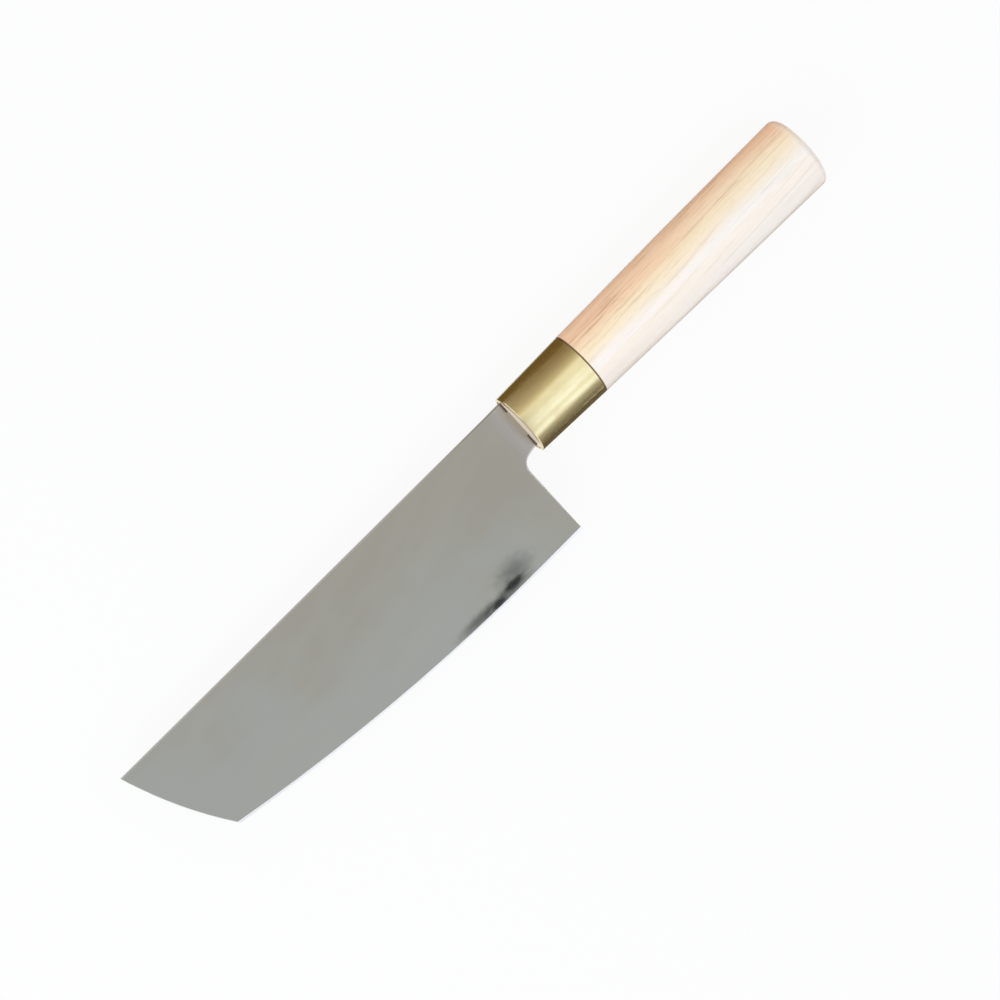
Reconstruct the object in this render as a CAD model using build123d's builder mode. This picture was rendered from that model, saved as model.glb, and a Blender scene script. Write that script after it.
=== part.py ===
from build123d import *
import os
from math import atan, degrees, radians, tan

# Kitchen knife with a square heel, a forward point, an oval wooden handle and a brass ferrule
#
# The knife lies flat on the plane Z = 0. X runs along the handle, from the point to the butt, the
# cutting edge faces -Y and Z is the direction of the blade's thickness. The origin is the middle of
# the bounding box, on that plane. The blade is drawn on a plane of its own, whose zero is where the
# handle's axis leaves the ferrule: there the first number runs to the point and the second to the edge.

# Blade, seen from its side
blade_length = 171.6
neck_length = 7.9
heel_height = 51.3
front_height = 39.3
front_setback = 18.6
nose_bulge = 1.6
flat_edge_length = 20.5
spine_to_axis = 10.2
spine_drop = 1.0
choil_radius = 4.4
neck_height = 19.3
neck_flare = 1.4

# Blade, across its thickness
stock_thickness = 2.2
point_thickness = 1.7
heel_thickness = 0.42
bevel_angle = 12.0
edge_land = 0.04
spine_round = 0.35
nose_round = 0.16
choil_angle = 45.0
choil_land = 0.12

# Tang, which starts at the neck's shoulders, just in front of the ferrule
shoulder_gap = 0.7
tang_length = 96.0
tang_thickness = 1.85
tang_root_height = 10.6
tang_root_lift = 1.0
tang_end_height = 7.0
tang_end_round = 2.0

# Ferrule
ferrule_length = 29.8
ferrule_wall = 1.0
mouth_width = 23.7
mouth_thickness = 18.4
mouth_end_radius = 7.4
mouth_round = 0.5
seam_width = 25.3
seam_ease = 0.2

# Handle
handle_length = 138.4
palm_distance = 84.0
palm_width = 27.4
butt_width = 28.8
butt_round = 2.8

# Filler, resin and fits
seal_recess = 0.2
seal_length = 3.0
resin_gap = 1.2
fit_gap = 0.1
cut_overrun = 2.0

# How much the oval grows on every side: up to the seam, the palm and the butt
ferrule_spread = (seam_width - mouth_width) / 2
palm_spread = (palm_width - seam_width) / 2
butt_spread = (butt_width - palm_width) / 2
butt_thickness = mouth_thickness + butt_width - mouth_width

# Placing of the handle's axis and the ferrule's mouth in the bounding box
blade_reach = neck_length + blade_length
edge_to_axis = heel_height - spine_to_axis
mouth_x = (blade_reach - handle_length) / 2
axis_y = (edge_to_axis - butt_width / 2) / 2
axis_z = butt_thickness / 2
blade_plane = Plane(origin=(mouth_x, axis_y, axis_z), x_dir=(-1, 0, 0), z_dir=(0, 0, 1))

# Corners of the blade on its plane
spine_front = spine_drop - spine_to_axis
shoulder_top = (shoulder_gap, -spine_to_axis)
point = (blade_reach, spine_front)
front_corner = (blade_reach - front_setback, spine_front + front_height)
flat_end = (neck_length + flat_edge_length, edge_to_axis)
heel = (neck_length, edge_to_axis)
choil_corner = (neck_length, neck_height - spine_to_axis + neck_flare)
shoulder_bottom = (shoulder_gap, neck_height - spine_to_axis)


def across(distance):
    """Plane square to the handle's axis, this far behind the ferrule's mouth."""
    return Plane(origin=(mouth_x + distance, axis_y, axis_z), x_dir=(0, 1, 0), z_dir=(1, 0, 0))


def oval(distance, growth):
    """Four-arc oval across the handle: the mouth's oval, grown by this much on every side."""
    half_width = mouth_width / 2 + growth
    half_thickness = mouth_thickness / 2 + growth
    end_radius = mouth_end_radius + growth
    end_centre = half_width - end_radius
    flat_radius = (end_centre**2 + half_thickness**2 - end_radius**2) / (half_thickness - end_radius) / 2
    lean = end_radius / (flat_radius - end_radius)
    join = (end_centre * (1 + lean), (flat_radius - half_thickness) * lean)
    with BuildSketch(across(distance)) as section:
        with BuildLine():
            ThreePointArc((-join[0], join[1]), (0, half_thickness), join)
            ThreePointArc(join, (half_width, 0), (join[0], -join[1]))
            mirror(about=Plane.YZ)
            mirror(about=Plane.XZ)
        make_face()
    return section.sketch


def tapered(start, length, growth, spread, mode=Mode.ADD):
    """Oval bar along the handle, which spreads by this much on every side over its length."""
    extrude(oval(start, growth), amount=length, taper=-degrees(atan(spread / length)), mode=mode)


def past_end(start, end):
    """Point on the line from start to end that lies past its end by the overrun of a cut."""
    run = Vector(*end) - Vector(*start)
    return Vector(*end) + run.normalized() * cut_overrun


def grind_plane(side):
    """Flat side of the blade, through the spine at the shoulder, the point and the heel."""
    corners = (
        (*shoulder_top, side * stock_thickness / 2),
        (*point, side * point_thickness / 2),
        (*heel, side * heel_thickness / 2),
    )
    mouth, tip, foot = [blade_plane.from_local_coords(corner) for corner in corners]
    return Plane(origin=mouth, x_dir=tip - mouth, z_dir=(foot - mouth).cross(tip - mouth) * -side)


def slope_section(path, angle, land):
    """Section of the two cuts that slope a border of the blade down to a narrow land."""
    reach = stock_thickness / 2 / tan(radians(angle))
    inwards = (path % 0).cross(Vector(0, 0, 1))
    with BuildSketch(Plane(origin=path @ 0, x_dir=inwards, z_dir=path % 0)) as section:
        with BuildLine():
            Polyline(
                (-cut_overrun, land / 2),
                (0, land / 2),
                (reach, land / 2 + stock_thickness / 2),
                (reach, stock_thickness),
                (-cut_overrun, stock_thickness),
                close=True,
            )
        make_face()
        mirror(about=Plane.XZ)
    return section.sketch


os.makedirs("parts", exist_ok=True)

# Tang outline, shared by the blade and the resin round it
with BuildSketch(blade_plane) as tang_outline:
    with BuildLine():
        Polyline(
            (shoulder_gap, -tang_root_height / 2 - tang_root_lift),
            (shoulder_gap, tang_root_height / 2 - tang_root_lift),
            (-tang_length, tang_end_height / 2),
            (-tang_length, -tang_end_height / 2),
            close=True,
        )
    make_face()
    fillet(tang_outline.vertices().group_by(Axis.X)[0], tang_end_round)

# Bore outline, the tang's with room for the resin
with BuildSketch(blade_plane) as bore_outline:
    offset(tang_outline.sketch_local, amount=resin_gap)

bore_thickness = tang_thickness + 2 * resin_gap
tenon_start = seal_recess + seal_length

# Line of the cutting edge, run on past both of its ends
with BuildLine() as edge_line:
    Line((heel[0] - cut_overrun, heel[1]), flat_end)
    belly = TangentArc(flat_end, front_corner, tangent=(1, 0))
    Line(belly @ 1, belly @ 1 + belly % 1 * cut_overrun)
edge_path = blade_plane.from_local_coords(edge_line.line)

# Line of the neck's underside, the choil and the heel, run on past both of its ends
with BuildLine() as heel_line:
    FilletPolyline(
        past_end(choil_corner, shoulder_bottom),
        choil_corner,
        past_end(choil_corner, heel),
        radius=choil_radius,
    )
heel_path = blade_plane.from_local_coords(heel_line.line)

# Blade: flat ground sides, a sloped cutting edge and a thinner tang behind the neck's shoulders
with BuildPart() as blade:
    with BuildSketch(blade_plane):
        with BuildLine():
            Line(shoulder_top, point)
            SagittaArc(front_corner, point, nose_bulge)
            TangentArc(flat_end, front_corner, tangent=(1, 0))
            Line(flat_end, heel)
            FilletPolyline(heel, choil_corner, shoulder_bottom, radius=choil_radius)
            Line(shoulder_bottom, shoulder_top)
        make_face()
    extrude(amount=stock_thickness / 2, both=True)
    split(bisect_by=grind_plane(1), keep=Keep.BOTTOM)
    split(bisect_by=grind_plane(-1), keep=Keep.BOTTOM)

    spine_face = blade.faces().sort_by(Axis.Y)[-1]
    fillet(spine_face.edges().sort_by(SortBy.LENGTH)[-2:], spine_round)
    nose_face = blade.faces().sort_by(Axis.X)[0]
    fillet(nose_face.edges().sort_by(SortBy.LENGTH)[-2:], nose_round)
    sweep(
        sections=slope_section(edge_path, bevel_angle, edge_land),
        path=edge_path,
        mode=Mode.SUBTRACT,
    )
    sweep(
        sections=slope_section(heel_path, choil_angle, choil_land),
        path=heel_path,
        mode=Mode.SUBTRACT,
    )
    extrude(tang_outline.sketch, amount=tang_thickness / 2, both=True)
blade.part.label = "blade"
export_step(blade.part, "parts/blade.step")

# Ferrule: tapered oval tube with a rounded rim towards the blade
with BuildPart() as ferrule:
    tapered(0, ferrule_length, 0, ferrule_spread)
    rims = ferrule.faces().filter_by(GeomType.PLANE).sort_by(Axis.X)
    fillet(rims[0].edges(), mouth_round)
    chamfer(rims[-1].edges(), seam_ease)
    tapered(0, ferrule_length, -ferrule_wall, ferrule_spread, mode=Mode.SUBTRACT)
ferrule.part.label = "ferrule"
export_step(ferrule.part, "parts/ferrule.step")

# Handle: flared oval grip with a rounded butt, and a tenon that fills the ferrule
tenon_length = ferrule_length - tenon_start
tenon_spread = ferrule_spread * tenon_length / ferrule_length
tenon_growth = ferrule_spread - tenon_spread - ferrule_wall - fit_gap
with BuildPart() as handle:
    tapered(ferrule_length, palm_distance - ferrule_length, ferrule_spread, palm_spread)
    tapered(palm_distance, handle_length - palm_distance, ferrule_spread + palm_spread, butt_spread)
    grip_ends = handle.faces().filter_by(GeomType.PLANE).sort_by(Axis.X)
    fillet(grip_ends[-1].edges(), butt_round)
    chamfer(grip_ends[0].edges(), seam_ease)
    tapered(tenon_start, tenon_length, tenon_growth, tenon_spread)
    extrude(bore_outline.sketch, amount=bore_thickness / 2, both=True, mode=Mode.SUBTRACT)
handle.part.label = "handle"
export_step(handle.part, "parts/handle.step")

# Resin that fills the handle's bore round the tang
with BuildPart() as tang_adhesive:
    extrude(bore_outline.sketch, amount=bore_thickness / 2, both=True)
    extrude(tang_outline.sketch, amount=tang_thickness / 2, both=True, mode=Mode.SUBTRACT)
    split(bisect_by=across(tenon_start), keep=Keep.TOP)
tang_adhesive.part.label = "tang_adhesive"
export_step(tang_adhesive.part, "parts/tang_adhesive.step")

# Pale filler that closes the ferrule's mouth round the tang, just behind the rim
seal_spread = ferrule_spread * seal_length / ferrule_length
seal_growth = tenon_growth - seal_spread
with BuildPart() as mouth_seal:
    tapered(seal_recess, seal_length, seal_growth, seal_spread)
    extrude(tang_outline.sketch, amount=tang_thickness / 2, both=True, mode=Mode.SUBTRACT)
mouth_seal.part.label = "mouth_seal"
export_step(mouth_seal.part, "parts/mouth_seal.step")
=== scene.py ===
"""Kitchen knife with a square heel: its polished steel, satin brass, pale wood, filler and resin.

The knife lies on a white table. X runs along the handle from the point to the butt, the cutting edge
faces -Y, Z is up, and lengths are in metres unless a comment or a description says millimetres.
"""

import math
from collections import namedtuple

import bmesh
import bpy
from bpy.props import FloatProperty, FloatVectorProperty, PointerProperty
from mathutils import Matrix, Vector, noise


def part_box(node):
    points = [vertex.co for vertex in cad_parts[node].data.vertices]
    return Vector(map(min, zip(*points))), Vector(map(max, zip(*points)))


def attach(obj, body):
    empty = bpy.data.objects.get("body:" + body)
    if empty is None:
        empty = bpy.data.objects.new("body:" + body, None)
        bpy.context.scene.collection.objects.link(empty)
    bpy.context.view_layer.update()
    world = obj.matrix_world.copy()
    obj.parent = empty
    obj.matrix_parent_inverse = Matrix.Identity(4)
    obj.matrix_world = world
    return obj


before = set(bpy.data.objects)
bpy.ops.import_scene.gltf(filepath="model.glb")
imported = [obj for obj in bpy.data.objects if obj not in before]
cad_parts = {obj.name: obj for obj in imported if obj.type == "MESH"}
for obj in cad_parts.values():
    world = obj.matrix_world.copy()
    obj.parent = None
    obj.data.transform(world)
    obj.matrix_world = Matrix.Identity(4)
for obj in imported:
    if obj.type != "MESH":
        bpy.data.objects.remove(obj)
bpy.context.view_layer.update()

bl_info = {
    "name": "Kitchen Knife",
    "version": (1, 0, 0),
    "blender": (4, 5, 0),
    "location": "3D View > Sidebar > Knife",
    "description": "Finishes a kitchen knife in steel, brass and wood, and lights it on a white table",
    "category": "Object",
}

MILLIMETRES = 1000.0
NOISE_MEAN = 0.5
NO_TURN = (0.0, 0.0, 0.0)
ORIGIN = (0.0, 0.0, 0.0)

FERRULE_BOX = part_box("ferrule")
MOUTH = FERRULE_BOX[0].x * MILLIMETRES
SEAM = FERRULE_BOX[1].x * MILLIMETRES
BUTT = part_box("handle")[1].x * MILLIMETRES

# Parts of the blade's normal between which it turns flat, turns to the spine and leaves the front
FLAT = (0.988, 0.993)
TO_SPINE = (0.02, 0.1)
OFF_FRONT = (-0.35, -0.25)

# How the hazes and the scratches on the flats are turned, in radians
HAZE_TURN = (0, 0, 0.25)
SCRATCH_TURN = (0, 0, 0.5)

# Dark beads in front of the neck's shoulders, painted shade for the shadow in the gaps there: where
# each starts and ends across the knife, and how far all of them reach from the ferrule's mouth and
# from its axis
SHADE_BEADS = (("shade_bead_spine", 0.0052, 0.0102), ("shade_bead_edge", -0.0092, -0.0038))
BEAD_FRONT, BEAD_BACK = -0.0007, 0.0002
BEAD_UNDER, BEAD_TOP = -0.0009, 0.0007
BEAD_CUTS = 5
BEAD_SMOOTHINGS = 6
BEAD_SMOOTHING = 0.5
LUMPS_PER_MILLIMETRE = 1.7
LUMP_HEIGHT = 0.00006

# Without a seed, Blender takes the offsets of this noise from the clock
LUMP_SEED = 1

# Long soft lamps on the edge side: how far their borders lean from straight above the ferrule, in
# degrees, and where they start and how long they are along X
LongLamp = namedtuple("LongLamp", "name low high start length")
LONG_LAMPS = (
    LongLamp("handle_lamp", 7, 19, 0.12, 0.66),
    LongLamp("upper_lamp", 20, 32, -0.65, 1.6),
    LongLamp("lower_lamp", 42, 55, -0.65, 1.6),
)
LONG_LAMP_DISTANCE = 0.9

# Power of these lamps and colour of the cards in their place, as shares of the window's brightness
LONG_LAMP_POWER = 0.84
GLOW = (1.14, 1.24, 1.5)

# Lamps off the point and off the spine, with their power as a share of the window's brightness
SideLamp = namedtuple("SideLamp", "name place size power")
SIDE_LAMPS = (
    SideLamp("point_lamp", (-0.9, 0.0, 0.45), (1.2, 0.8), 2.0),
    SideLamp("spine_lamp", (0.1, 0.9, 0.4), (1.2, 0.6), 0.55),
)
LAMP_COLOUR = (0.95, 1.0, 1.08)

# Cards that only reflections see. One with a colour for its top stands upright, and its colour changes
# from foot to top, the later the higher the delay. The others lie flat.
Card = namedtuple("Card", "name centre size foot top delay", defaults=(None, 1.0))
CARDS = (
    Card(
        name="spine_wall",
        centre=(0.13, 0.3, 0.415),
        size=(0.17, 0.83),
        foot=(0.165, 0.09, 0.015),
        top=(0.95, 0.87, 0.71),
        delay=1.25,
    ),
    Card(
        name="edge_wall",
        centre=(0.0875, -0.3, 0.0975),
        size=(0.095, 0.195),
        foot=(0.105, 0.082, 0.06),
        top=(0.45, 0.42, 0.385),
    ),
    Card("spine_floor", (0.0, 0.165, 0.0002), (0.5, 0.27), (0.162, 0.105, 0.04)),
    Card("grey_ceiling", (-0.0795, -0.0175, 0.08), (0.221, 0.105), (0.63, 0.63, 0.62)),
    Card("far_floor", (0.048, -0.165, 0.0002), (0.064, 0.27), (0.12, 0.095, 0.07)),
    # Painted shadow: a dark strip on the table beside the ferrule and the grip, where their contact
    # shadow falls, seen only in reflections.
    Card("near_floor_shadow", (0.092, -0.0165, 0.0003), (0.148, 0.027), (0.14, 0.12, 0.1)),
)

# Dark spots that the blade mirrors near its heel, in millimetres: where, half their size, how far they
# stay dark before they fade, as a share of that size, and how dark they are
Spot = namedtuple("Spot", "along across length width full depth")
DARK_SPOTS = (
    Spot(0.0, 0.0, 4.6, 1.6, 0.5, 0.85),
    Spot(-8.4, -1.7, 3.4, 1.0, 0.5, 0.85),
    Spot(-4.0, -1.4, 13.0, 3.2, 0.1, 0.62),
    Spot(-17.0, -0.8, 13.0, 2.6, 0.2, 0.65),
    Spot(3.0, 3.0, 10.5, 6.0, 0.0, 0.55),
)

# Share of its size at which a spot has faded, and how strong and how coarse its ragged outline is
SPOT_FADED = 1.1
SPOT_RAGGEDNESS = 1.2
SPOT_RAG_SIZE = (3.2, 0.9)

# Card that carries the spots
SPOT_COLOUR = (0.03, 0.03, 0.03, 1)
SPOT_CARD_SIZE = (0.07, 0.024)
SPOT_CARD_CENTRE = (-0.0155, -0.0278, 0.0252)

# White surroundings: the table's paper and how much of it glows where it is seen, and the sky's light
# at the horizon, what it gains overhead, and the heights between which it does
PAPER = (0.8, 0.8, 0.8, 1)
TABLE_GLOW = 0.9
WHITE = (1, 1, 1, 1)
SKY_HORIZON, SKY_GAIN = 0.68, 0.4
SKY_LOW, SKY_HIGH = -0.1, 0.7


def colour(name, description, default):
    """Setting for a colour."""
    return FloatVectorProperty(
        name=name, description=description, default=default, subtype="COLOR", min=0, max=1
    )


def share(name, description, default):
    """Setting for a share, from 0 to 1."""
    return FloatProperty(
        name=name, description=description, default=default, subtype="FACTOR", min=0, max=1
    )


def number(name, description, default, **limits):
    """Setting for a plain number."""
    return FloatProperty(name=name, description=description, default=default, precision=4, **limits)


def pair(name, description, default):
    """Setting for two plain numbers."""
    return FloatVectorProperty(
        name=name, description=description, default=default, size=2, precision=3
    )


def coarseness(name, description, default):
    """Setting for the size of a pattern: millimetres along the knife and across it."""
    return FloatVectorProperty(
        name=name, description=description, default=default, size=2, min=0.02, precision=3
    )


def length(name, description, default, least):
    """Setting for a length."""
    return FloatProperty(
        name=name, description=description, default=default, unit="LENGTH", min=least
    )


def angle(name, description, degrees):
    """Setting for an angle."""
    return FloatProperty(
        name=name, description=description, default=math.radians(degrees), subtype="ANGLE"
    )


class SteelSettings(bpy.types.PropertyGroup):
    """Finish of the blade. A size is in millimetres, along the knife and across it."""

    # Painted reflection: the drift from warm grey at the neck to cool grey at the point stands in for
    # the light that the polished flats mirror.
    warm_grey: colour("Warm Grey", "Colour of the steel towards the neck", (0.52, 0.505, 0.446))
    cool_grey: colour("Cool Grey", "Colour of the steel towards the point", (0.542, 0.563, 0.542))
    haze_grey: colour("Haze", "Colour of the long faint hazes", (0.6, 0.587, 0.523))
    # Painted shade: the neck's darker grey stands in for the dimmer light that it mirrors.
    neck_shade_grey: colour("Neck", "Colour of the neck", (0.42, 0.387, 0.335))
    # Painted highlight: the near-white colour of the ground bevel, heel and choil stands in for the
    # bright light they mirror. Their added roughness is their own.
    honed_and_highlight: colour("Honed Edges", "Colour of the ground bevel, heel and choil", (0.93, 0.93, 0.92))
    roughness: share("Roughness", "Roughness of the polished flats", 0.13)
    honed_roughness: share("Honed Roughness", "Roughness that grinding adds", 0.28)
    neck_roughness: share("Neck Roughness", "Roughness that the neck has on top", 0.2)
    cloud_roughness: share("Cloud Roughness", "How much the clouds vary the roughness", 0.05)
    line_roughness: share("Line Roughness", "How much the polishing lines vary the roughness", 0.06)
    scratch_roughness: share("Scratch Roughness", "Roughness that a scratch adds", 0.03)
    warming: pair("Warming", "Millimetres along and across in which the grey turns warm", (150, 45))
    warm_start: number("Warm Start", "Warmth in the middle of the knife", 0.85)
    cloud_contrast: number("Cloud Contrast", "How much the clouds vary the warmth", 1.8)
    cloud: coarseness("Cloud Size", "Size of a cloud", (34, 22))
    haze: coarseness("Haze Size", "Size of a haze", (60, 9))
    haze_span: pair("Haze Span", "Noise where a haze begins and is full", (0.35, 0.7))
    haze_share: share("Haze Share", "Strength of a haze", 0.2)
    polish_line: coarseness("Polish Line", "Size of a polishing line", (0.12, 14))
    scratch: coarseness("Scratch Size", "Size of a fine scratch", (9, 0.22))
    scratch_span: pair("Scratch Span", "Noise where a scratch begins and is full", (0.66, 0.74))
    line_relief: share("Line Relief", "Height of the polishing lines, as a share of the relief", 0.7)
    scratch_relief: share("Scratch Relief", "Height of a scratch, as a share of the relief", 0.5)
    relief: number("Relief", "Depth of the finish, in millimetres", 0.002, min=0)
    # Painted shade on the neck, which turns darker and then lighter again at the mouth. The neck's
    # satin roughness is its own.
    neck_start: pair("Neck Start", "Where the neck turns darker, in front of the mouth", (-9, -4.5))
    neck_satin: pair("Neck Satin", "Where the neck turns satin, in front of the mouth", (-9, -2))
    neck_end: pair("Neck End", "Where the neck turns lighter again, in front of the mouth", (-3, -0.8))
    neck_shade_depth: share("Neck Darkness", "How much darker the neck is", 0.74)
    neck_return: share("Neck Return", "How much lighter it is at the mouth", 0.37)


class BrassSettings(bpy.types.PropertyGroup):
    """Finish of the ferrule. A size is in millimetres, along the knife and across it."""

    brass: colour("Brass", "Colour of the clean metal", (0.87, 0.78, 0.46))
    tarnish: colour("Tarnish", "Colour of the faint brown clouds on it", (0.62, 0.45, 0.19))
    roughness: share("Roughness", "Roughness across the satin lines", 0.2)
    line_roughness: share("Line Roughness", "How much the satin lines vary the roughness", 0.14)
    cloud_roughness: share("Cloud Roughness", "Roughness that a cloud adds", 0.04)
    satin_line: coarseness("Satin Line", "Size of a satin line", (22, 0.14))
    broad_line: coarseness("Broad Line", "Size of a broad line", (60, 1.3))
    broad_share: share("Broad Share", "How much a broad line tints the brass", 0.16)
    broad_relief: number("Broad Relief", "Height of a broad line, counted in satin lines", 2)
    cloud: coarseness("Cloud Size", "Size of a brown cloud", (9, 5))
    cloud_span: pair("Cloud Span", "Noise where a cloud begins and is full", (0.42, 0.78))
    cloud_share: share("Cloud Share", "How much a cloud tints the brass", 0.22)
    relief: number("Relief", "Depth of the finish, in millimetres", 0.006, min=0)


class WoodSettings(bpy.types.PropertyGroup):
    """Finish of the grip. A size is in millimetres, along the knife and across it."""

    # Painted light and shade: the grip's spine side is given the deeper, more orange wood and its edge
    # side the paler wood, because the light falls from the edge side. The grain's own colours are
    # real.
    shaded_heartwood: colour("Heartwood", "Colour of the deeper wood on the spine side", (1.0, 0.62, 0.39))
    lit_sapwood: colour("Sapwood", "Colour of the paler wood on the edge side", (0.95, 0.88, 0.81))
    cream: colour("Cream", "Colour of the yellowish bands between them", (0.98, 0.81, 0.55))
    latewood: colour("Latewood", "Colour of the dark grain in the heartwood", (0.62, 0.34, 0.17))
    sap_line: colour("Sapwood Line", "Colour of the dark grain in the sapwood", (0.55, 0.42, 0.33))
    # Painted shade: a dark line in the wood along the ferrule, where shade falls in the groove of the
    # seam.
    seam_shade: colour("Glue Line", "Colour of the line along the ferrule", (0.12, 0.07, 0.035))
    roughness: share("Roughness", "Roughness of the oiled wood", 0.42)
    fibre_roughness: share("Fibre Roughness", "How much the fibres vary the roughness", 0.12)
    pore_roughness: share("Pore Roughness", "Roughness that a pore adds", 0.15)
    oil: share("Oil", "Strength of the oil's sheen", 0.7)
    oil_roughness: share("Oil Roughness", "Roughness of the oil's sheen", 0.28)
    grain_turn: FloatVectorProperty(
        name="Grain Turn",
        description="How the grain is turned from the handle's axis",
        default=(0, math.radians(-1.2), math.radians(1.4)),
        subtype="EULER",
    )
    pith: pair("Pith", "Where the pith lies across the knife and over the table", (42, 9))
    ring_spacing: number(
        "Ring Spacing", "Distance between growth rings, in millimetres", 3.4, min=0.2, max=20
    )
    bend: pair("Bend", "Distance from the middle, and how far rings have bent there", (120, 3))
    sway: coarseness("Sway Size", "Size of a slow sway of the rings", (120, 18))
    ring_sway: number("Ring Sway", "How far the rings sway, in millimetres", 6)
    border_sway: number("Border Sway", "How much further the heartwood's border sways", 7)
    ripple: coarseness("Ripple Size", "Size of a ripple in the rings", (36, 5))
    ring_ripple: number("Ring Ripple", "How far the rings ripple, in millimetres", 2.2)
    unevenness: coarseness("Unevenness Size", "Size of a run of wide or narrow rings", (300, 7))
    ring_unevenness: number("Ring Unevenness", "How much their spacing varies, in millimetres", 9)
    late_start: pair("Latewood Start", "Share of a ring where its dark line begins", (0.7, 0.95))
    late_end: pair("Latewood End", "Share of a ring where its dark line ends", (0.95, 1.0))
    heart_border: pair("Heartwood Border", "Millimetres from the pith where it turns cream", (24, 30))
    sap_border: pair("Sapwood Border", "Millimetres from the pith where it turns pale", (28, 35))
    fade_border: pair("Fade Border", "Millimetres from the pith where the streaks fade", (22, 33))
    fade: share("Fade", "How much the streaks fade in the sapwood", 0.76)
    band: coarseness("Band Size", "Size of a cream band", (200, 4.5))
    band_span: pair("Band Span", "Noise where a band begins and is full", (0.42, 0.6))
    band_share: share("Band Share", "Strength of a band", 0.25)
    fibre: coarseness("Fibre Size", "Size of a fibre", (17, 0.55))
    fibre_span: pair("Fibre Span", "Noise where a fibre begins and is full", (0.5, 0.66))
    fibre_share: pair(
        "Fibre Share", "What a patch adds to a fibre, and its least strength", (0.55, 0.18)
    )
    thread: coarseness("Thread Size", "Size of a thread", (6, 0.2))
    thread_span: pair("Thread Span", "Noise where a thread begins and is full", (0.55, 0.75))
    thread_share: share("Thread Share", "Strength of a thread", 0.25)
    patch: coarseness("Patch Size", "Size of a patch with strong grain", (34, 4))
    patch_span: pair("Patch Span", "Noise where a patch begins and is full", (0.36, 0.64))
    late_share: pair(
        "Latewood Share", "What a patch adds to a ring's line, and its least strength", (0.26, 0.05)
    )
    late_fade: share("Latewood Fade", "How much the rings' lines fade in the sapwood", 0.4)
    pore: coarseness("Pore Size", "Size of a pore", (3.2, 0.2))
    pore_span: pair("Pore Span", "Noise where a pore begins and is full", (0.62, 0.74))
    pore_share: share("Pore Share", "Strength of a pore", 0.25)
    pore_fade: share("Pore Fade", "How much the pores fade in the sapwood", 0.7)
    seam_shade_span: pair("Glue Span", "Millimetres past the seam where the glue line ends", (0.2, 0.55))
    # Painted highlight: a paler rim round the butt, where its rounded end catches the light.
    highlit_span: pair("Rub Span", "Millimetres from the butt where its rubbed rim begins", (-3.6, -2.6))
    highlit_share: share("Rub Share", "How much paler the rubbed rim is", 0.25)
    fibre_relief: share("Fibre Relief", "Height of a fibre, as a share of the relief", 0.6)
    thread_relief: share("Thread Relief", "Height of a thread, as a share of the relief", 0.3)
    late_relief: share("Latewood Relief", "Depth of a ring's line, as a share of the relief", 0.3)
    pore_relief: share("Pore Relief", "Depth of a pore, as a share of the relief", 0.9)
    relief: number("Relief", "Depth of the finish, in millimetres", 0.03, min=0)


class ResinSettings(bpy.types.PropertyGroup):
    """Finish of the filler in the ferrule's mouth and of the resin round the tang."""

    filler: colour("Filler", "Colour of the pale filler in the ferrule's mouth", (0.94, 0.79, 0.64))
    resin: colour("Resin", "Colour of the cured resin", (0.15, 0.115, 0.08))
    shade: share("Shade", "How bright the uneven skin stays at its darkest", 0.7)
    roughness: share("Roughness", "Roughness of both", 0.45)
    skin_roughness: share("Skin Roughness", "How much the skin varies the roughness", 0.3)
    skin: coarseness("Skin Size", "Size of an unevenness in the skin, in millimetres", (1.2, 1.2))
    skin_share: share("Skin Share", "How much the skin darkens the colour", 0.5)
    grain: coarseness("Grain Size", "Size of a grain, in millimetres", (0.2, 0.2))
    grain_share: share("Grain Share", "How much the grains darken the colour", 0.3)
    grain_relief: share("Grain Relief", "Height of a grain, as a share of the relief", 0.4)
    relief: number("Relief", "Depth of the skin, in millimetres", 0.06, min=0)


class StudioSettings(bpy.types.PropertyGroup):
    """Camera, table and lamps."""

    target: FloatVectorProperty(
        name="Target",
        description="Point in the middle of the picture",
        default=(FERRULE_BOX[0].x - 0.02228, -0.00047, 0.01175),
        subtype="TRANSLATION",
        unit="LENGTH",
    )
    distance: length("Distance", "From the camera to its target", 1.3, least=0.1)
    focal_length: number("Focal Length", "Focal length of the lens, in millimetres", 138.1, min=10)
    sensor_width: number("Sensor Width", "Width of the camera's sensor, in millimetres", 36, min=1)
    lean_to_point: angle("Lean to Point", "From straight above the knife towards its point", 9.5)
    lean_to_spine: angle("Lean to Spine", "From straight above the knife towards its spine", 12)
    turn: angle("Turn", "From the picture's width to the line along the knife", 45.391)
    table_size: length("Table Size", "Side of the white table", 8, least=1)
    sky: number("Sky", "Brightness of the soft light from all round", 0.63, min=0, max=2)
    window: number("Window", "Brightness of the lamps", 1.05, min=0, max=10)


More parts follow.
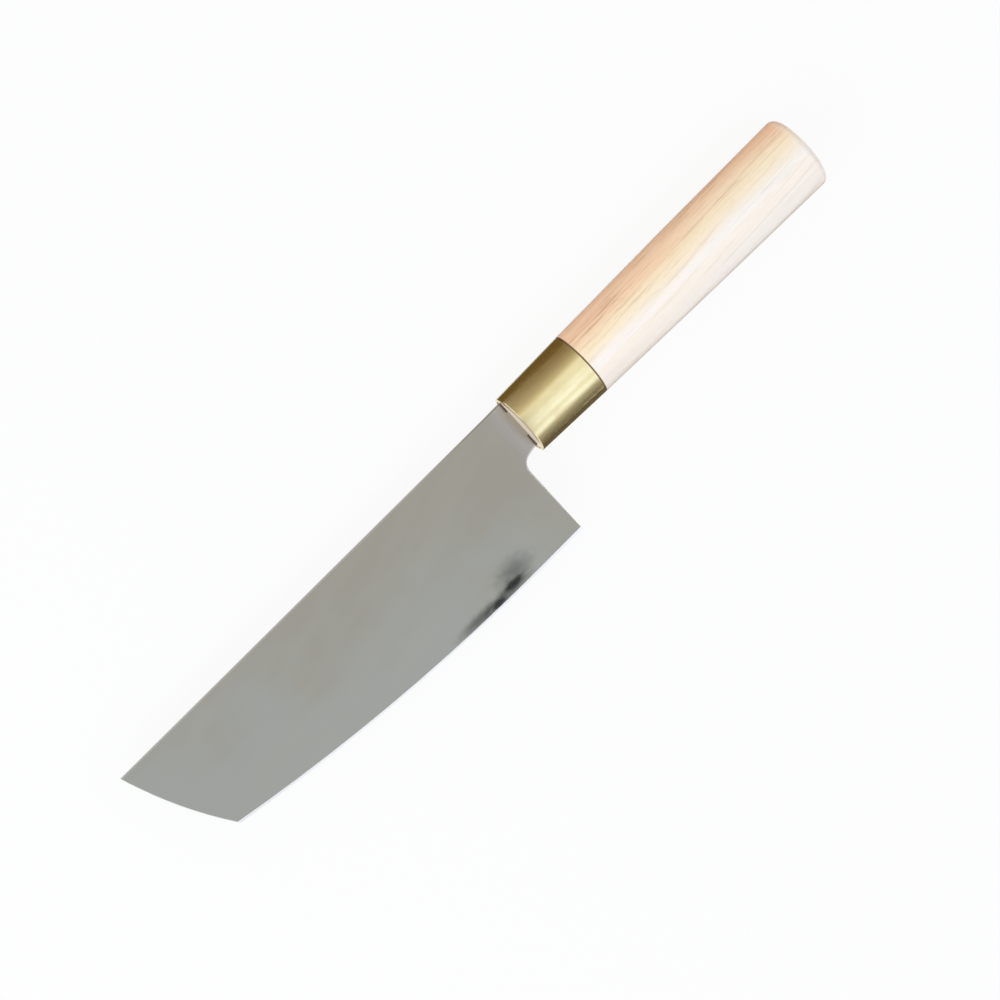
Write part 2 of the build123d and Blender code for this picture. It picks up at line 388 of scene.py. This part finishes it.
class Reading:
    """Something that varies over a surface, read from a node's output. Arithmetic adds Math nodes."""

    def __init__(self, shader, socket):
        self.shader = shader
        self.socket = socket

    def maths(self, operation, *terms):
        """The result of a Math node on these terms."""
        return self.shader.node("ShaderNodeMath", {"operation": operation}, dict(enumerate(terms)))

    def __add__(self, other):
        return self.maths("ADD", self, other)

    def __radd__(self, other):
        return self.maths("ADD", other, self)

    def __sub__(self, other):
        return self.maths("SUBTRACT", self, other)

    def __rsub__(self, other):
        return self.maths("SUBTRACT", other, self)

    def __mul__(self, other):
        return self.maths("MULTIPLY", self, other)

    def __rmul__(self, other):
        return self.maths("MULTIPLY", other, self)

    def __truediv__(self, other):
        return self.maths("DIVIDE", self, other)

    def __pow__(self, other):
        return self.maths("POWER", self, other)

    def __abs__(self):
        return self.maths("ABSOLUTE", self)

    def __mod__(self, other):
        return self.maths("FLOORED_MODULO", self, other)

    def at_most(self, limit):
        """The same, cut off at this limit."""
        return self.maths("MINIMUM", self, limit)

    def between(self, low, high):
        """0 up to low and 1 from high on, with a smooth rise between them."""
        return self.shader.node(
            "ShaderNodeMapRange",
            {"interpolation_type": "SMOOTHSTEP"},
            {"Value": self, "From Min": low, "From Max": high},
        )


class Shader:
    """The nodes of one material or of the world."""

    def __init__(self, owner):
        owner.use_nodes = True
        self.owner = owner
        self.tree = owner.node_tree
        self.tree.nodes.clear()

    def node(self, kind, settings, sockets, output=0):
        """Adds a node with its settings and its sockets' values or links, and reads an output."""
        node = self.tree.nodes.new(kind)
        for name, setting in settings.items():
            setattr(node, name, setting)
        for name, value in sockets.items():
            if isinstance(value, Reading):
                self.tree.links.new(value.socket, node.inputs[name])
            else:
                node.inputs[name].default_value = value
        return Reading(self, node.outputs[output]) if node.outputs else None

    def mix(self, amount, first, second):
        """Colour that goes from the first to the second as the amount goes from 0 to 1."""
        colours = [c if isinstance(c, Reading) else (*c, 1) for c in (first, second)]
        settings = {"data_type": "RGBA", "blend_type": "MIX", "clamp_factor": True}
        return self.node("ShaderNodeMix", settings, {0: amount, 6: colours[0], 7: colours[1]}, 2)

    def place(self, along=1.0, across=1.0, turn=NO_TURN, centre=ORIGIN):
        """Place on the object, counted in these millimetres along X and across it."""
        return self.node(
            "ShaderNodeMapping",
            {"vector_type": "TEXTURE"},
            {
                "Vector": self.node("ShaderNodeTexCoord", {}, {}, "Object"),
                "Location": centre,
                "Rotation": turn,
                "Scale": (along / MILLIMETRES, across / MILLIMETRES, across / MILLIMETRES),
            },
        )

    def noise(self, size, detail, roughness=0.5, turn=NO_TURN):
        """Soft random value from 0 to 1, about as coarse as these millimetres along and across."""
        return self.node(
            "ShaderNodeTexNoise",
            {"noise_dimensions": "3D"},
            {
                "Vector": self.place(*size, turn),
                "Scale": 1,
                "Detail": detail,
                "Roughness": roughness,
            },
        )

    def split(self, vector):
        """The three parts of a vector."""
        node = self.node("ShaderNodeSeparateXYZ", {}, {0: vector}).socket.node
        return [Reading(self, output) for output in node.outputs]

    def bump(self, height, millimetres):
        """Normal of a surface with this relief."""
        sockets = {"Strength": 1.0, "Distance": millimetres / MILLIMETRES, "Height": height}
        return self.node("ShaderNodeBump", {}, sockets)

    def surface(self, **sockets):
        """Ends the material in a plain shader with these inputs, given with _ for a space."""
        named = {name.replace("_", " "): value for name, value in sockets.items()}
        shader = self.node("ShaderNodeBsdfPrincipled", {}, named)
        self.node("ShaderNodeOutputMaterial", {}, {"Surface": shader})
        return self.owner

    def seen(self):
        """1 for rays that show a surface, mirrored or through glass too, and 0 for the rest."""
        rays = self.node("ShaderNodeLightPath", {}, {}).socket.node.outputs
        camera = Reading(self, rays["Is Camera Ray"])
        glossy = Reading(self, rays["Is Glossy Ray"])
        transmission = Reading(self, rays["Is Transmission Ray"])
        return (camera + glossy + transmission).at_most(1)


def new_material(name):
    """Empty material under this name."""
    return Shader(bpy.data.materials.new(name))


def dress(node_name, material):
    """Gives a part of the knife its finish."""
    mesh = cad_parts[node_name].data
    mesh.materials.clear()
    mesh.materials.append(material)


def honed_edges(shader):
    """1 on the bevel, the heel and the choil, and 0 on the flats, the spine and the front."""
    normal = shader.node("ShaderNodeNewGeometry", {}, {}, "True Normal")
    to_butt, to_spine, up = shader.split(normal)
    sloped = 1 - abs(up).between(*FLAT)
    return sloped * (1 - to_spine.between(*TO_SPINE)) * to_butt.between(*OFF_FRONT)


def steel(settings):
    """Polished steel: clouded flats with fine lines from spine to edge, a warm-to-cool drift of
    painted reflection, a neck darkened by painted shade, and a painted highlight on the ground bevel,
    heel and choil.
    """
    shader = new_material("polished_steel")
    x, y, _ = shader.split(shader.place())
    clouds = shader.noise(settings.cloud, detail=4) - NOISE_MEAN
    along, across = settings.warming
    # Painted reflection: the grey turns warm towards the neck and the spine, and cool towards the
    # point.
    warmth = x / along + y / across + settings.warm_start + clouds * settings.cloud_contrast
    flats = shader.mix(warmth.between(0, 1), settings.cool_grey, settings.warm_grey)
    haze = shader.noise(settings.haze, detail=3, turn=HAZE_TURN).between(*settings.haze_span)
    flats = shader.mix(haze * settings.haze_share, flats, settings.haze_grey)

    from_mouth = x - MOUTH
    # Painted shade: the neck turns darker, and lighter again just in front of the mouth.
    dark = from_mouth.between(*settings.neck_start) * settings.neck_shade_depth
    dark = dark - from_mouth.between(*settings.neck_end) * settings.neck_return
    flats = shader.mix(dark, flats, settings.neck_shade_grey)

    lines = shader.noise(settings.polish_line, detail=3, roughness=0.7)
    scratches = shader.noise(settings.scratch, detail=2, turn=SCRATCH_TURN)
    scratches = scratches.between(*settings.scratch_span)
    # Painted highlight on the ground bevel, heel and choil, which are also rougher.
    honed_and_highlight = honed_edges(shader)
    roughness = (
        settings.roughness
        + from_mouth.between(*settings.neck_satin) * settings.neck_roughness
        + clouds * settings.cloud_roughness
        + (lines - NOISE_MEAN) * settings.line_roughness
        + scratches * settings.scratch_roughness
        + honed_and_highlight * settings.honed_roughness
    )
    relief = lines * settings.line_relief + scratches * settings.scratch_relief
    return shader.surface(
        Base_Color=shader.mix(honed_and_highlight, flats, settings.honed_and_highlight),
        Metallic=1.0,
        Roughness=roughness,
        Normal=shader.bump(relief, settings.relief),
    )


def brass(settings):
    """Satin brass: fine lines along the tube under faint brown clouds."""
    shader = new_material("satin_brass")
    lines = shader.noise(settings.satin_line, detail=3, roughness=0.65)
    broad_lines = shader.noise(settings.broad_line, detail=2)
    clouds = shader.noise(settings.cloud, detail=3).between(*settings.cloud_span)
    tarnish = clouds * settings.cloud_share + broad_lines * settings.broad_share
    roughness = (
        settings.roughness
        + (lines - NOISE_MEAN) * settings.line_roughness
        + clouds * settings.cloud_roughness
    )
    return shader.surface(
        Base_Color=shader.mix(tarnish, settings.brass, settings.tarnish),
        Metallic=1.0,
        Roughness=roughness,
        Normal=shader.bump(lines + broad_lines * settings.broad_relief, settings.relief),
    )


def wood(settings):
    """Oiled pale wood: growth rings round a pith beyond the spine side, fibres and short pores, with
    painted shade on the spine side and at the seam, and painted light on the edge side and round the
    butt.
    """
    shader = new_material("pale_wood")
    turn = tuple(settings.grain_turn)
    x, y, z = shader.split(shader.place(turn=turn))
    sway = shader.noise(settings.sway, detail=2, turn=turn) - NOISE_MEAN
    ripple = shader.noise(settings.ripple, detail=3, turn=turn) - NOISE_MEAN
    bend_reach, bend_height = settings.bend
    pith_y, pith_z = settings.pith
    from_pith = ((y - pith_y) ** 2 + (z - pith_z) ** 2) ** 0.5 + (x / bend_reach) ** 2 * bend_height
    from_pith = from_pith + sway * settings.ring_sway + ripple * settings.ring_ripple
    uneven = shader.noise(settings.unevenness, detail=1, turn=turn) * settings.ring_unevenness
    ring = ((from_pith + uneven) / settings.ring_spacing) % 1.0
    late = ring.between(*settings.late_start) * (1 - ring.between(*settings.late_end))

    # Painted light and shade: the wood turns from deep orange on the spine side to pale on the edge
    # side, where the light falls, and the streaks fade there.
    border = from_pith + sway * settings.border_sway
    sap_and_light = border.between(*settings.sap_border)
    heart = shader.mix(border.between(*settings.heart_border), settings.shaded_heartwood, settings.cream)
    body = shader.mix(sap_and_light, heart, settings.lit_sapwood)
    bands = shader.noise(settings.band, detail=2, turn=turn).between(*settings.band_span)
    body = shader.mix(bands * settings.band_share, body, settings.cream)

    fibres = shader.noise(settings.fibre, detail=4, roughness=0.65, turn=turn)
    threads = shader.noise(settings.thread, detail=3, roughness=0.7, turn=turn)
    pores = shader.noise(settings.pore, detail=1, turn=turn).between(*settings.pore_span)
    patches = shader.noise(settings.patch, detail=2, turn=turn).between(*settings.patch_span)
    patch_fibres, least_fibres = settings.fibre_share
    streaks = fibres.between(*settings.fibre_span) * (patches * patch_fibres + least_fibres)
    streaks = streaks + threads.between(*settings.thread_span) * settings.thread_share
    patch_late, least_late = settings.late_share
    dark = (
        streaks * (1 - border.between(*settings.fade_border) * settings.fade)
        + late * (patches * patch_late + least_late) * (1 - sap_and_light * settings.late_fade)
        + pores * (1 - sap_and_light * settings.pore_fade) * settings.pore_share
    )
    grained = shader.mix(dark, body, shader.mix(sap_and_light, settings.latewood, settings.sap_line))

    along = shader.split(shader.place())[0]
    # Painted highlight: the wood turns paler on the rim round the butt's end.
    highlit = (along - BUTT).between(*settings.highlit_span) * settings.highlit_share
    grained = shader.mix(highlit, grained, settings.lit_sapwood)
    # Painted shade: the wood darkens just past the seam, in the groove next to the ferrule.
    seam_shaded = 1 - (along - SEAM).between(*settings.seam_shade_span)
    roughness = (
        settings.roughness
        + (fibres - NOISE_MEAN) * settings.fibre_roughness
        + pores * settings.pore_roughness
    )
    relief = (
        fibres * settings.fibre_relief
        + threads * settings.thread_relief
        - late * settings.late_relief
        - pores * settings.pore_relief
    )
    return shader.surface(
        Base_Color=shader.mix(seam_shaded, grained, settings.seam_shade),
        Roughness=roughness,
        Coat_Weight=settings.oil,
        Coat_Roughness=settings.oil_roughness,
        Normal=shader.bump(relief, settings.relief),
    )


def cured(name, base, settings):
    """Cured filler or resin with an uneven, slightly grainy skin."""
    shader = new_material(name)
    skin = shader.noise(settings.skin, detail=3)
    grains = shader.noise(settings.grain, detail=2)
    dark = tuple(part * settings.shade for part in base)
    darkness = skin * settings.skin_share + grains * settings.grain_share
    return shader.surface(
        Base_Color=shader.mix(darkness, base, dark),
        Roughness=settings.roughness + (skin - NOISE_MEAN) * settings.skin_roughness,
        Normal=shader.bump(skin + grains * settings.grain_relief, settings.relief),
    )


def shade_bead(name, low, high):
    """Rounded, slightly lumpy dark bead between two corners, painted shade for the shadow in a gap."""
    bead = bmesh.new()
    bmesh.ops.create_cube(bead, size=1)
    bmesh.ops.subdivide_edges(bead, edges=bead.edges, cuts=BEAD_CUTS, use_grid_fill=True)
    bmesh.ops.scale(bead, vec=high - low, verts=bead.verts)
    bmesh.ops.translate(bead, vec=(low + high) / 2, verts=bead.verts)
    noise.seed_set(LUMP_SEED)
    for vertex in bead.verts:
        vertex.co += noise.noise_vector(vertex.co * MILLIMETRES * LUMPS_PER_MILLIMETRE) * LUMP_HEIGHT
    for _ in range(BEAD_SMOOTHINGS):
        bmesh.ops.smooth_vert(
            bead,
            verts=bead.verts,
            factor=BEAD_SMOOTHING,
            use_axis_x=True,
            use_axis_y=True,
            use_axis_z=True,
        )
    for face in bead.faces:
        face.smooth = True
    piece = new_object(name, bead)
    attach(piece, "root")
    return piece


def new_object(name, shape):
    """Object made from a finished bmesh."""
    mesh = bpy.data.meshes.new(name)
    shape.to_mesh(mesh)
    shape.free()
    piece = bpy.data.objects.new(name, mesh)
    bpy.context.scene.collection.objects.link(piece)
    return piece


def sheet(name, size, place, material):
    """Flat oblong sheet that isn't part of the knife."""
    outline = bmesh.new()
    bmesh.ops.create_grid(outline, x_segments=1, y_segments=1, size=0.5)
    bmesh.ops.scale(outline, vec=(*size, 1), verts=outline.verts)
    bmesh.ops.transform(outline, matrix=place, verts=outline.verts)
    piece = new_object(name, outline)
    piece.data.materials.append(material)
    return piece


def reflected_sheet(name, size, place, material):
    """Sheet that is seen in reflections alone."""
    piece = sheet(name, size, place, material)
    piece.visible_camera = False
    piece.visible_diffuse = False
    piece.visible_transmission = False
    piece.visible_volume_scatter = False
    piece.visible_shadow = False


def reflected_card(name, size, place, foot, top, delay=1.0):
    """Card in reflections, which goes from one colour at its foot to another at its top."""
    shader = new_material(name)
    height = shader.split(shader.place())[2] / (size[1] * MILLIMETRES)
    light = shader.node("ShaderNodeEmission", {}, {"Color": shader.mix(height**delay, foot, top)})
    shader.node("ShaderNodeOutputMaterial", {}, {"Surface": light})
    reflected_sheet(name, size, place, shader.owner)


def dark_blot():
    """Card in reflections with ragged dark spots, close over the blade."""
    shader = new_material("dark_blot")
    x, y, _ = shader.split(shader.place(centre=SPOT_CARD_CENTRE))
    ragged = shader.noise(SPOT_RAG_SIZE, detail=4, roughness=0.7) - NOISE_MEAN
    mask = 0.0
    for spot in DARK_SPOTS:
        reach = (((x - spot.along) / spot.length) ** 2 + ((y - spot.across) / spot.width) ** 2) ** 0.5
        cover = 1 - (reach + ragged * SPOT_RAGGEDNESS).between(spot.full, SPOT_FADED)
        mask = mask + cover * spot.depth
    clear = shader.node("ShaderNodeBsdfTransparent", {}, {})
    dark = shader.node("ShaderNodeEmission", {}, {"Color": SPOT_COLOUR})
    mixed = shader.node("ShaderNodeMixShader", {}, {0: mask, 1: clear, 2: dark})
    shader.node("ShaderNodeOutputMaterial", {}, {"Surface": mixed})
    reflected_sheet("dark_blot", SPOT_CARD_SIZE, Matrix.Translation(SPOT_CARD_CENTRE), shader.owner)


def panel_lamp(name, place, target, size, brightness):
    """Soft oblong lamp turned to the target, as bright as a card of this brightness."""
    lamp = bpy.data.lights.new(name, "AREA")
    lamp.shape = "RECTANGLE"
    lamp.size, lamp.size_y = size
    lamp.energy = brightness * math.pi * size[0] * size[1]
    lamp.color = LAMP_COLOUR
    piece = bpy.data.objects.new(name, lamp)
    piece.location = place
    piece.rotation_euler = (Vector(target) - Vector(place)).to_track_quat("-Z", "Y").to_euler()
    piece.visible_camera = False
    piece.visible_glossy = False
    bpy.context.scene.collection.objects.link(piece)
    return piece


class KNIFE_OT_blade(bpy.types.Operator):
    """Finish the blade in polished steel"""

    bl_idname = "knife.blade"
    bl_label = "Blade"

    def execute(self, context):
        dress("blade", steel(context.scene.knife_steel))
        return {"FINISHED"}


class KNIFE_OT_ferrule(bpy.types.Operator):
    """Finish the ferrule in satin brass"""

    bl_idname = "knife.ferrule"
    bl_label = "Ferrule"

    def execute(self, context):
        dress("ferrule", brass(context.scene.knife_brass))
        return {"FINISHED"}


class KNIFE_OT_handle(bpy.types.Operator):
    """Finish the grip in oiled pale wood"""

    bl_idname = "knife.handle"
    bl_label = "Handle"

    def execute(self, context):
        dress("handle", wood(context.scene.knife_wood))
        return {"FINISHED"}


class KNIFE_OT_resin(bpy.types.Operator):
    """Finish the filler in the ferrule's mouth and the resin round the tang, and add dark beads of
    painted shade in the gaps at the neck's shoulders
    """

    bl_idname = "knife.resin"
    bl_label = "Resin"

    def execute(self, context):
        settings = context.scene.knife_resin
        dress("mouth_seal", cured("pale_filler", settings.filler, settings))
        dark = cured("dark_resin", settings.resin, settings)
        dress("tang_adhesive", dark)
        mouth = FERRULE_BOX[0].x
        axis = (FERRULE_BOX[0] + FERRULE_BOX[1]) / 2
        # Painted shade: dark beads in the gaps between the neck's shoulders and the mouth.
        for name, start, end in SHADE_BEADS:
            low = Vector((mouth + BEAD_FRONT, axis.y + start, axis.z + BEAD_UNDER))
            high = Vector((mouth + BEAD_BACK, axis.y + end, axis.z + BEAD_TOP))
            shade_bead(name, low, high).data.materials.append(dark)
        return {"FINISHED"}


class KNIFE_OT_stage(bpy.types.Operator):
    """Set up the white table, the lamps and the camera"""

    bl_idname = "knife.stage"
    bl_label = "Stage"

    def execute(self, context):
        settings = context.scene.knife_studio
        self.lay_table(settings)
        self.hang_sky(context.scene, settings)
        self.hang_lamps(settings)
        self.set_cards()
        self.set_camera(context.scene, settings)
        context.scene.view_settings.view_transform = "Standard"
        return {"FINISHED"}

    def lay_table(self, settings):
        """White table that keeps a faint shadow of the knife."""
        shader = new_material("white_table")
        paper = shader.node("ShaderNodeBsdfDiffuse", {}, {"Color": PAPER})
        glow = shader.node("ShaderNodeEmission", {}, {"Strength": 1.0})
        share_of_glow = shader.seen() * TABLE_GLOW
        mixed = shader.node("ShaderNodeMixShader", {}, {0: share_of_glow, 1: paper, 2: glow})
        shader.node("ShaderNodeOutputMaterial", {}, {"Surface": mixed})
        sheet("table", (settings.table_size, settings.table_size), Matrix.Identity(4), shader.owner)

    def hang_sky(self, scene, settings):
        """Even white all round, dimmer where it lights the knife than where it is seen."""
        scene.world = bpy.data.worlds.new("white_room")
        scene.world.cycles.sampling_method = "NONE"
        shader = Shader(scene.world)
        direction = shader.node("ShaderNodeTexCoord", {}, {}, "Generated")
        overhead = shader.split(direction)[2].between(SKY_LOW, SKY_HIGH)
        light = settings.sky * (overhead * SKY_GAIN + SKY_HORIZON)
        level = light + (1 - light) * shader.seen()
        sky = shader.node("ShaderNodeBackground", {}, {"Color": WHITE, "Strength": level})
        shader.node("ShaderNodeOutputWorld", {}, {"Surface": sky})

    def hang_lamps(self, settings):
        """Long soft lamps on the edge side, each with a card that reflections see, and two more."""
        ferrule = FERRULE_BOX[0].lerp(FERRULE_BOX[1], 0.5)
        glow = tuple(settings.window * part for part in GLOW)
        for lamp in LONG_LAMPS:
            target = ferrule + Vector((lamp.start + lamp.length / 2, 0, 0))
            lean = math.radians((lamp.low + lamp.high) / 2)
            place = target + LONG_LAMP_DISTANCE * Vector((0, -math.sin(lean), math.cos(lean)))
            half_width = LONG_LAMP_DISTANCE * math.tan(math.radians((lamp.high - lamp.low) / 2))
            size = (lamp.length, 2 * half_width)
            piece = panel_lamp(lamp.name, place, target, size, settings.window * LONG_LAMP_POWER)
            reflected_card(lamp.name + "_glow", size, piece.matrix_basis, glow, glow)
        for lamp in SIDE_LAMPS:
            panel_lamp(lamp.name, lamp.place, ferrule, lamp.size, settings.window * lamp.power)

    def set_cards(self):
        """Cards that give the metal its dark flanks and its grey, and the blade its dark spots, with a
        painted shadow on the table beside the ferrule and the grip.
        """
        upright = Matrix.Rotation(math.radians(90), 4, "X")
        for card in CARDS:
            place = Matrix.Translation(card.centre)
            if card.top:
                place = place @ upright
            reflected_card(card.name, card.size, place, card.foot, card.top or card.foot, card.delay)
        dark_blot()

    def set_camera(self, scene, settings):
        """Camera almost straight above, leaning a little to the point and to the spine."""
        lens = bpy.data.cameras.new("camera")
        lens.lens = settings.focal_length
        lens.sensor_width = settings.sensor_width
        camera = bpy.data.objects.new("camera", lens)
        scene.collection.objects.link(camera)
        diagonal = math.radians(45)
        aim = (
            Matrix.Rotation(settings.turn - diagonal, 4, "Z")
            @ Matrix.Rotation(-settings.lean_to_spine, 4, "X")
            @ Matrix.Rotation(-settings.lean_to_point, 4, "Y")
            @ Matrix.Rotation(-diagonal, 4, "Z")
        )
        back = aim @ Vector((0, 0, settings.distance))
        camera.matrix_world = Matrix.Translation(Vector(settings.target) + back) @ aim
        scene.camera = camera


class KNIFE_PT_panel(bpy.types.Panel):
    """Lists the parts of the knife and their finishes"""

    bl_idname = "KNIFE_PT_panel"
    bl_label = "Kitchen Knife"
    bl_space_type = "VIEW_3D"
    bl_region_type = "UI"
    bl_category = "Knife"

    def draw(self, context):
        for operator in OPERATORS:
            self.layout.operator(operator.bl_idname)


SETTINGS = {
    "knife_steel": SteelSettings,
    "knife_brass": BrassSettings,
    "knife_wood": WoodSettings,
    "knife_resin": ResinSettings,
    "knife_studio": StudioSettings,
}
OPERATORS = (KNIFE_OT_blade, KNIFE_OT_ferrule, KNIFE_OT_handle, KNIFE_OT_resin, KNIFE_OT_stage)


def register():
    """Makes the settings, the operators and the panel known."""
    for name, group in SETTINGS.items():
        bpy.utils.register_class(group)
        setattr(bpy.types.Scene, name, PointerProperty(type=group))
    for operator in OPERATORS:
        bpy.utils.register_class(operator)
    bpy.utils.register_class(KNIFE_PT_panel)


def unregister():
    """Takes back what register made known."""
    bpy.utils.unregister_class(KNIFE_PT_panel)
    for operator in reversed(OPERATORS):
        bpy.utils.unregister_class(operator)
    for name, group in reversed(SETTINGS.items()):
        delattr(bpy.types.Scene, name)
        bpy.utils.unregister_class(group)


def main():
    register()
    for operator in (
        bpy.ops.knife.blade,
        bpy.ops.knife.ferrule,
        bpy.ops.knife.handle,
        bpy.ops.knife.resin,
        bpy.ops.knife.stage,
    ):
        operator()


if __name__ == "__main__":
    main()
